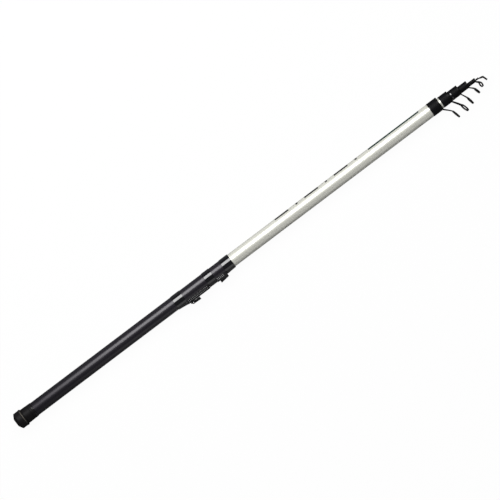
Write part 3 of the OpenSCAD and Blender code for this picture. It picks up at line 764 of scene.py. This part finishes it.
# glossy bindings with a hump over the feet of the reel seat
seatAxis = 8.8    # height of the humps' centre over the rod's axis
bindings = [
    {"name": "lowerBinding", "node": "lower_binding", "from": 396.0, "to": 419.0, "hump": (6.4, 9.7)},
    {"name": "middleBinding", "node": "middle_binding", "from": 473.0, "to": 492.0, "hump": (9.0, 9.0)},
    {"name": "upperBinding", "node": "upper_binding", "from": 517.0, "to": 539.0, "hump": (8.4, 6.4)},
]
bindingLook = {"wide": 31.0, "edge": 0.5, "taper": 4.5, "fall": 0.75, "melt": 1.6, "stations": 36,
               "sides": 128}


def softMax(a, b, melt):
    h = max(melt - abs(a - b), 0) / melt
    return max(a, b) + h * h * melt / 4


def makeBinding(b):
    look = bindingLook
    x0, x1 = b["from"], b["to"]
    bore = handleR(x0) + glue
    n = look["stations"]
    bm = bmesh.new()
    rings = []
    for i in range(n + 1):
        share = (1 - math.cos(math.pi * i / n)) / 2
        x = x0 + (x1 - x0) * share
        atButt = max(0, 1 - (x - x0) / look["taper"])
        atTip = max(0, 1 - (x1 - x) / look["edge"])
        drop = look["fall"] * (1 - math.sqrt(1 - atButt ** 2))
        drop += look["edge"] * (1 - math.sqrt(1 - atTip ** 2))
        band = look["wide"] / 2 - drop
        hump = b["hump"][0] + (b["hump"][1] - b["hump"][0]) * share - drop
        ring = []
        for j in range(look["sides"]):
            a = 2 * math.pi * j / look["sides"]
            inside = hump ** 2 - (seatAxis * math.sin(a)) ** 2
            over = seatAxis * math.cos(a) + math.sqrt(inside) if inside > 0 else 0
            r = softMax(band, over, look["melt"])
            ring.append(bm.verts.new((x, -r * math.cos(a), r * math.sin(a))))
        rings.append(ring)
    for x in (x1, x0):
        turns = [2 * math.pi * j / look["sides"] for j in range(look["sides"])]
        rings.append([bm.verts.new((x, -bore * math.cos(a), bore * math.sin(a))) for a in turns])
    for a, c in zip(rings, rings[1:] + rings[:1]):
        for i in range(look["sides"]):
            j = (i + 1) % look["sides"]
            bm.faces.new((a[i], a[j], c[j], c[i]))
    finishPiece(b["name"], bm, "butt_section", "gloss_black", [b["node"]])


for b in bindings:
    makeBinding(b)
print("bindings wound")


# reel seat: moulded pieces keep the CAD outline, with their edges eased
eased = [
    {"name": "fixedHood", "node": "fixed_hood", "body": "butt_section", "ease": 0.22},
    {"name": "slidingHood", "node": "sliding_hood", "body": "sliding_hood", "ease": 0.25},
    {"name": "lockLever", "node": "lock_lever", "body": "lock_lever", "ease": 0.22},
]
weldWithin = 0.002
flatWithin = 1.0    # degrees, as the next
hardFrom = 35


def makeEased(e):
    bm = bmesh.new()
    bm.from_mesh(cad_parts[e["node"]].data)
    bmesh.ops.scale(bm, vec=(1 / mm, 1 / mm, 1 / mm), verts=bm.verts)
    bmesh.ops.remove_doubles(bm, verts=bm.verts, dist=weldWithin)
    bmesh.ops.dissolve_limit(bm, angle_limit=math.radians(flatWithin), verts=bm.verts, edges=bm.edges)
    sharp = math.radians(hardFrom)
    hard = [s for s in bm.edges if len(s.link_faces) == 2 and s.calc_face_angle(0) > sharp]
    bmesh.ops.bevel(bm, geom=hard, offset=e["ease"], segments=2, profile=0.6, affect="EDGES",
                    clamp_overlap=True)
    finishPiece(e["name"], bm, e["body"], "seat_black", [e["node"]], crease=32)


for e in eased:
    makeEased(e)

rail = {"from": 419.03, "to": 472.97, "high": 18.82, "wide": 19.6, "round": 0.8, "edge": 0.25,
        "neck": 2.2, "neckDeep": 1.9, "undercut": 4.2, "undercutDeep": 1.5, "pitch": 3.5,
        "arcSteps": 8}
teeth = [
    {"name": "railTeeth", "from": 422.18, "count": 14, "rows": (15.22, 11.82),
     "long": 1.3, "deep": 1.1, "proud": 0.5},
    {"name": "hoodRibs", "from": 494.66, "count": 5, "rows": (14.67, 11.82),
     "long": 1.83, "deep": 1.58, "proud": 0.54},
]
teethSunk = 0.3


def makeRail():
    r = rail
    w = r["wide"] / 2
    saddle = handleR(r["from"]) + glue
    foot = math.asin(w / saddle)
    under = r["high"] - r["neckDeep"]
    deep = under - r["undercutDeep"]
    neck, slot = r["neck"], r["undercut"]
    half = rounded([(saddle * math.cos(foot), w, 0), (r["high"], w, r["round"]), (r["high"], neck, 0.3),
                    (under, neck, 0), (under, slot, 0), (deep, slot, 0.2), (deep, 0, 0)])[:-1]
    outline = half + [(h, -z) for h, z in reversed(half)]
    n = r["arcSteps"]
    arc = [foot * (i / n - 1) for i in range(1, 2 * n)]
    outline += [(saddle * math.cos(a), saddle * math.sin(a)) for a in arc]
    bm = bmesh.new()
    loops = []
    middle = (r["high"] + saddle) / 2
    x0, x1, edge = r["from"], r["to"], r["edge"]
    for x, inset in ((x0, edge), (x0 + edge, 0), (x1 - edge, 0), (x1, edge)):
        shrink = 1 - inset / w
        loops.append([bm.verts.new((x, -(middle + (h - middle) * shrink), z * shrink)) for h, z in outline])
    for a, c in zip(loops, loops[1:]):
        for i in range(len(outline)):
            j = (i + 1) % len(outline)
            bm.faces.new((a[i], a[j], c[j], c[i]))
    bm.faces.new(loops[0])
    bm.faces.new(loops[-1])
    finishPiece("railPlate", bm, "butt_section", "seat_black", ["rail_plate"], crease=32)


def makeTeeth(t, tree):
    bm = bmesh.new()
    for side in (1, -1):
        for high in t["rows"]:
            row = tree.grow(Count=t["count"], Pitch=rail["pitch"] * mm, Long=t["long"] * mm,
                            Deep=t["deep"] * mm, Proud=(t["proud"] + teethSunk) * mm)
            start = Matrix.Translation((t["from"], -high, side * (rail["wide"] / 2 - teethSunk)))
            grownInto(bm, row, start @ Matrix.Diagonal((1, 1, side, 1)))
    # the teeth keep the seat's black slot, but are drawn with the painted-highlight grey
    finishPiece(t["name"], bm, "butt_section", "seat_black", (), toothHighlightFinish, crease=30)


pins = [
    {"name": "railStop", "node": "rail_stop", "body": "butt_section",
     "x": 471.3, "high": 16.17, "wide": 1.4, "half": 10.6},
    {"name": "leverPin", "node": "lever_pin", "body": "sliding_hood",
     "x": 428.6, "high": 21.82, "wide": 2.0, "half": 10.6},
]
pinDome = 0.9


def makePin(p):
    r = p["wide"] / 2
    bm = bmesh.new()
    upright = Matrix.Translation((p["x"], -p["high"], 0)) @ Matrix.Rotation(-math.pi / 2, 4, "Y")
    half, dome = p["half"], r * pinDome
    spun(bm, rounded([(-half, 0, 0), (-half, r, dome), (half, r, dome), (half, 0, 0)]), 32, upright)
    finishPiece(p["name"], bm, p["body"], "bright_steel", [p["node"]])


makeRail()
toothGrower = toothTree(toothHighlightFinish)
for t in teeth:
    makeTeeth(t, toothGrower)
for p in pins:
    makePin(p)
print("reel seat made")


# wrapped collars at the tips of the sections
collars = {"firstLong": 23.5, "firstGap": 3.3, "gap": 0.1, "wall": 0.7, "band": 4.0, "pitch": 0.5,
           "thread": 0.26, "sunk": 0.16, "edge": 0.25}
resinEnds = [{"from": 0.0, "long": 1.4}, {"from": 0.0, "long": 1.4}, {"from": 2.9, "long": 2.6}]
resin = {"proud": 0.12, "sunk": 0.1, "edge": 0.3}


def collarSpan(k):
    c = collars
    if k == 0:
        x0 = sections["tip"][0] - c["firstLong"]
    else:
        x0 = sections["tip"][k - 1] + (c["firstGap"] if k == 1 else c["gap"])
    return x0, sections["tip"][k] - c["band"] - glue


def makeCollar(k, tree):
    c = collars
    x0, x1 = collarSpan(k)
    bore = outerR(k, x0) + glue
    top = bore + c["wall"] - c["thread"] + c["sunk"]
    bm = bmesh.new()
    spun(bm, rounded([(x0, top, c["edge"]), (x1, top, c["edge"]), (x1, bore, 0), (x0, bore, 0)]))
    count = int((x1 - x0 - 2 * c["edge"]) / c["pitch"])
    wraps = tree.grow(Count=count, Pitch=c["pitch"] * mm, Radius=(bore + c["wall"] - c["thread"]) * mm,
                      Thread=c["thread"] * mm)
    grownInto(bm, wraps, Matrix.Translation((x0 + (x1 - x0 - (count - 1) * c["pitch"]) / 2, 0, 0)))
    finishPiece(f"tipCollar{k + 1}", bm, bodyNames[k], "wrap_black", [f"tip_collar_{k + 1}"], None,
                onSection(k), 60)


def makeResin(k, look):
    x0 = collarSpan(k)[0] + look["from"]
    x1 = x0 + look["long"]
    bore = outerR(k, collarSpan(k)[0]) + glue
    top = bore + collars["wall"] + resin["proud"]
    low, edge = bore + resin["sunk"], resin["edge"]
    bm = bmesh.new()
    spun(bm, rounded([(x0, top, edge), (x1, top, edge), (x1, low, 0), (x0, low, 0)]))
    finishPiece(f"resinEnd{k + 1}", bm, bodyNames[k], "gloss_black", (), None, onSection(k))


wrapGrower = wrapTree(finishes["wrap_black"])
for k in range(tipIndex):
    makeCollar(k, wrapGrower)
for k, look in enumerate(resinEnds):
    makeResin(k, look)
print("collars wrapped")


# line guides; the last entry of each list is the tip fitting
guides = {
    "ringWide": [18.4, 18.8, 17, 14.4, 11.6, 11],
    "reach": [37.6, 37, 31.4, 21.8, 14.4, 7.6],
    "ahead": [14, 11.1, 5.6, 7.6, 3.6, 11.9],
    "tilt": [13, 16.5, 10, 15, 6.5, 18.5],
    "roll": [8, -8, 4, 2, -10, 0],
    "swing": [5, 10, 6, 8, 24, 0],
    "insert": [1.3, 1.3, 1.3, 1.3, 0.8, 0.8],
    "rim": 0.9, "rimWide": 2.8, "insertWide": 1.4, "wire": 2.0, "tipWire": 1.7, "legTurn": 24,
    "bandLip": 0.12, "lipLong": 1.0, "lipRamp": 0.1, "tipGap": 0.6, "tipLegTurn": 62, "paint": 0.22,
    "insertRound": 0.95,
}
legBend = {"start": 0.4, "ring": 0.4, "end": 0.3, "tipEnd": 0.1}


def guidePlace(k):
    g = guides
    spot = Matrix.Translation((sections["tip"][k] + g["ahead"][k], -g["reach"][k], 0))
    tilt = Matrix.Rotation(math.radians(g["tilt"][k]), 4, "Z")
    swing = Matrix.Rotation(math.radians(g["swing"][k]), 4, "Y")
    return onSection(k, g["roll"][k]) @ spot @ tilt @ swing


def ringFoot(k, turn, side, lift):
    g = guides
    r = (g["ringWide"][k] - g["rim"]) / 2 + lift
    a = math.radians(turn)
    foot = Vector((0, r * math.cos(a), side * r * math.sin(a)))
    return onSection(k, g["roll"][k]).inverted() @ guidePlace(k) @ foot


def ringAway(k):
    t = math.radians(guides["tilt"][k])
    return Vector((math.sin(t), -math.cos(t), 0))


def spinRim(bm, k):
    g = guides
    r = g["ringWide"][k] / 2 + g["paint"]
    w = g["rimWide"] / 2 + g["paint"]
    inner = r - g["rim"] - 2 * g["paint"]
    spun(bm, rounded([(-w, r, 0.45), (w, r, 0.45), (w, inner, 0.15), (-w, inner, 0.15)]), 72, guidePlace(k))


def makeGuide(k):
    g = guides
    x1 = sections["tip"][k]
    x0 = x1 - collars["band"]
    bore = outerR(k, x0) + glue
    top = bore + collars["wall"] - glue
    lip, lipX = top + g["bandLip"], x1 - g["lipLong"]
    bm = bmesh.new()
    spun(bm, rounded([(x0, top, 0.15), (lipX - g["lipRamp"], top, 0.2), (lipX, lip, 0.1),
                      (x1, lip, 0.25), (x1, bore, 0.1), (x0, bore, 0)]), 96, onSection(k))
    spinRim(bm, k)
    ringRun = ringAway(k)
    for side in (-1, 1):
        a = math.radians(g["legTurn"])
        root = Vector(((x0 + x1) / 2, -top * math.cos(a), side * top * math.sin(a)))
        foot = ringFoot(k, g["legTurn"], side, (g["wire"] - g["rim"]) / 2)
        away = (foot - root).length
        out = (foot - root).normalized()
        into = out * (1 - legBend["ring"]) + ringRun * legBend["ring"]
        path = bend(root, root + out * away * legBend["start"], foot - into * away * legBend["end"], foot)
        sweptWire(bm, path, g["wire"] / 2 + g["paint"], 14, onSection(k, g["roll"][k]))
    finishPiece(f"guideFrame{k + 1}", bm, bodyNames[k], "guide_black", [f"guide_{k + 1}_frame"])


def makeInsert(k, name, node):
    g = guides
    outer = g["ringWide"][k] / 2 - g["rim"] - glue
    inner = outer - g["insert"][k]
    w = min(g["insertWide"], g["insert"][k]) / 2
    lip = w * g["insertRound"]
    bm = bmesh.new()
    section = rounded([(-w, outer, 0.1), (w, outer, 0.1), (w, inner, lip), (-w, inner, lip)], 6)
    spun(bm, section, 72, guidePlace(k))
    finishPiece(name, bm, bodyNames[k], "ring_black", [node])


def makeTipTop():
    g = guides
    k = tipIndex
    x0, x1 = sections["tip"][k - 1] + g["tipGap"], sections["tip"][k]
    bore = outerR(k, x0) + glue
    top = bore + collars["wall"]
    nose = x1 + g["tipWire"]
    bm = bmesh.new()
    socket = [(x0, top, 0.25), (nose, top, 0.6), (nose, 0, 0), (x1, 0, 0), (x1, bore, 0), (x0, bore, 0)]
    spun(bm, rounded(socket), 48, onSection(k))
    spinRim(bm, k)
    ringRun = ringAway(k)
    for turn, side in ((0, 1), (g["tipLegTurn"], 1), (g["tipLegTurn"], -1)):
        root = Vector((x1, -bore / 2, 0 if turn == 0 else side * bore / 2))
        foot = ringFoot(k, turn, side, (g["tipWire"] - g["rim"]) / 2)
        away = (foot - root).length
        into = ringRun * away * legBend["tipEnd"]
        path = bend(root, root + (foot - root) * legBend["start"], foot - into, foot)
        sweptWire(bm, path, g["tipWire"] / 2 + g["paint"], 12, onSection(k))
    finishPiece("tipTopFrame", bm, "tip_section", "guide_black", ["tip_top_frame"])


for k in range(tipIndex):
    makeGuide(k)
    makeInsert(k, f"guideRing{k + 1}", f"guide_{k + 1}_ring")
makeTipTop()
makeInsert(tipIndex, "tipTopRing", "tip_top_ring")
print("guides bent and fitted")


# floor that is white to the camera, a soft key and a low fill along the rod, and a dim surround
studio = {"floor": 20.0, "drop": 0.0001, "floorTone": 0.75, "seenGlow": 0.97, "mirroredGlow": 0.15,
          "surround": 0.06}
lamps = [
    {"name": "keyStrip", "far": 2.0, "lean": 32.0, "long": 2.8, "deep": 1.4, "power": 71.0},
    {"name": "fillStrip", "far": 2.0, "lean": -70, "long": 2.8, "deep": 1.3, "power": 4.6},
]


def makeFloor():
    f = Finish("paleFloor", Roughness=0.9, Specular_IOR_Level=0.0)
    f.feed("Base Color", (*[studio["floorTone"]] * 3, 1))
    path = f.tree.nodes.new("ShaderNodeLightPath")
    camera = Wire(f.tree, path.outputs["Is Camera Ray"])
    seen = camera * studio["seenGlow"]
    for label in ("Is Glossy Ray", "Is Transmission Ray"):
        seen = seen.sum("MAXIMUM", seen, Wire(f.tree, path.outputs[label]))
    glow = f.node("ShaderNodeEmission", Color=f.tint(camera, [studio["mirroredGlow"]] * 3, (1, 1, 1)))
    mix = f.node("ShaderNodeMixShader", in0=seen, in1=Wire(f.tree, f.skin.outputs[0]), in2=glow)
    f.plug(mix, f.tree.nodes["Material Output"].inputs["Surface"])
    half = studio["floor"]
    low = cadBox[0].z - studio["drop"]
    mesh = bpy.data.meshes.new("paleFloor")
    corners = [(-half, -half, low), (half, -half, low), (half, half, low), (-half, half, low)]
    mesh.from_pydata(corners, [], [(0, 1, 2, 3)])
    mesh.materials.append(f.mat)
    floor = bpy.data.objects.new("paleFloor", mesh)
    bpy.context.scene.collection.objects.link(floor)


def makeLamp(look):
    data = bpy.data.lights.new(look["name"], "AREA")
    data.shape = "RECTANGLE"
    data.size = look["long"]
    data.size_y = look["deep"]
    data.energy = look["power"]
    lamp = bpy.data.objects.new(look["name"], data)
    lean = math.radians(look["lean"])
    lamp.location = (shot["over"][0], look["far"] * math.sin(lean), look["far"] * math.cos(lean))
    lamp.rotation_euler = (-lean, 0, 0)
    lamp.visible_camera = False
    bpy.context.scene.collection.objects.link(lamp)


def makeSurround():
    world = bpy.data.worlds.new("surround")
    world.use_nodes = True
    back = world.node_tree.nodes["Background"]
    back.inputs["Color"].default_value = (1, 1, 1, 1)
    back.inputs["Strength"].default_value = studio["surround"]
    bpy.context.scene.world = world


makeFloor()
for look in lamps:
    makeLamp(look)
makeSurround()
bpy.context.scene.view_settings.view_transform = "Standard"
print("studio set")
